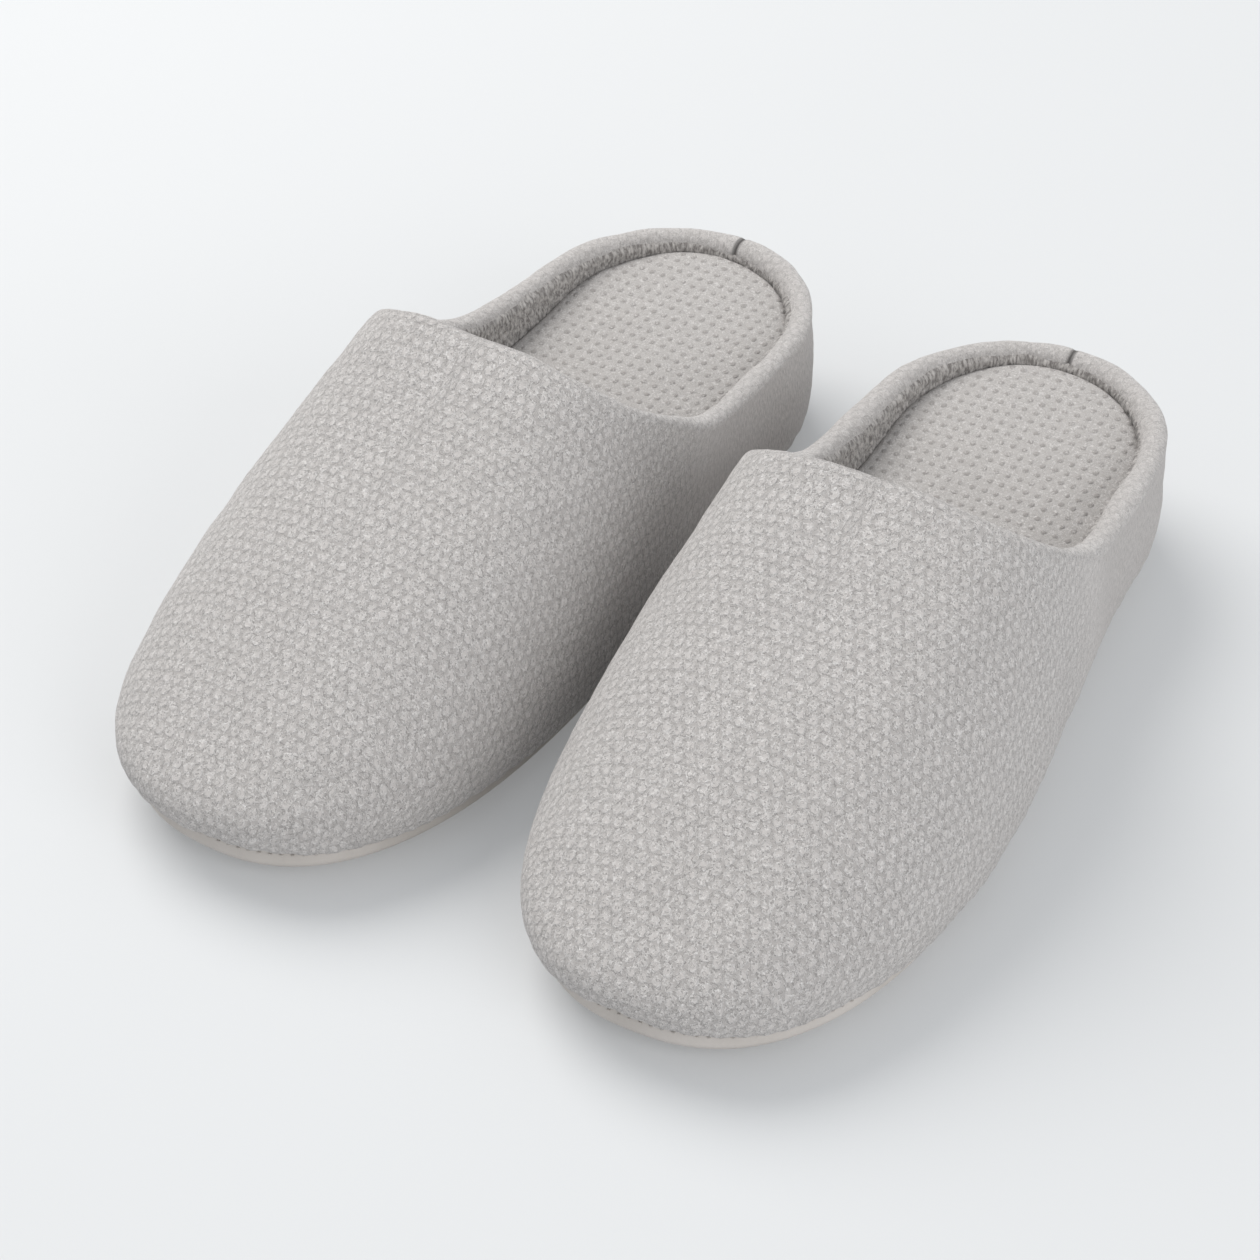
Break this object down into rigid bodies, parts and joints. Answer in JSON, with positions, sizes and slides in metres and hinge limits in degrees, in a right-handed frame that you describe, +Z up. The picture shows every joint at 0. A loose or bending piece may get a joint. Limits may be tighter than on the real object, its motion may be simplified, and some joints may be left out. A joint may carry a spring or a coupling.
{
  "type": "pair of closed-toe slippers",
  "caption": "Pair of soft closed-toe house slippers in waffle-knit fabric, with a padded collar round the heel, a cushioned insole and a thin flexible outsole.",
  "frame": {"origin": "on the floor, at the centre of the pair's footprint", "axes": "+Z up, toes towards -Y, +X towards the left slipper, which is the wearer's left foot's; each toe points 2.5 degrees outwards"},
  "size_m": [0.2386, 0.2728, 0.0902],
  "materials": {
    "waffle_fabric": "matte waffle knit",
    "insole_fabric": "matte waffle knit, quilted over foam",
    "lining": "matte plain jersey",
    "terry_lining": "looped terry pile",
    "foam": "soft open-cell foam",
    "board": "pressed fibre board",
    "outsole": "matte, fine grain",
    "thread": "twisted thread"
  },
  "bodies": {
    "right_slipper": {"right_outsole_heel": "outsole", "right_midsole_heel": "foam", "right_shank_board": "board", "right_insole_foam_heel": "foam", "right_insole_cover_heel": "insole_fabric", "right_upper_fabric": "waffle_fabric", "right_upper_foam": "foam", "right_vamp_lining": "lining", "right_heel_lining": "terry_lining", "right_heel_stiffener": "board", "right_collar_cover": "waffle_fabric", "right_collar_foam": "foam", "right_back_seam_tape": "waffle_fabric", "right_sole_seam_thread": "thread"},
    "right_toe": {"right_outsole_toe": "outsole", "right_midsole_toe": "foam", "right_insole_foam_toe": "foam", "right_insole_cover_toe": "insole_fabric"},
    "left_slipper": {"left_outsole_heel": "outsole", "left_midsole_heel": "foam", "left_shank_board": "board", "left_insole_foam_heel": "foam", "left_insole_cover_heel": "insole_fabric", "left_upper_fabric": "waffle_fabric", "left_upper_foam": "foam", "left_vamp_lining": "lining", "left_heel_lining": "terry_lining", "left_heel_stiffener": "board", "left_collar_cover": "waffle_fabric", "left_collar_foam": "foam", "left_back_seam_tape": "waffle_fabric", "left_sole_seam_thread": "thread"},
    "left_toe": {"left_outsole_toe": "outsole", "left_midsole_toe": "foam", "left_insole_foam_toe": "foam", "left_insole_cover_toe": "insole_fabric"}
  },
  "joints": [
    {"name": "right_toe_flex", "type": "hinge", "parent": "right_slipper", "child": "right_toe", "pos_m": [-0.06232, -0.03597, 0.0206], "axis": [-0.999, 0.0436, 0], "range_deg": [0, 35], "stiffness_Nm_per_rad": 0.4, "deforming": ["right_upper_fabric", "right_upper_foam", "right_vamp_lining", "right_sole_seam_thread"]},
    {"name": "left_toe_flex", "type": "hinge", "parent": "left_slipper", "child": "left_toe", "pos_m": [0.06232, -0.03597, 0.0206], "axis": [-0.999, -0.0436, 0], "range_deg": [0, 35], "stiffness_Nm_per_rad": 0.4, "deforming": ["left_upper_fabric", "left_upper_foam", "left_vamp_lining", "left_sole_seam_thread"]},
    {"name": "left_slipper_lift", "type": "slide", "parent": "right_slipper", "child": "left_slipper", "axis": [0, 0, 1], "range_m": [0, 0.15]}
  ]
}
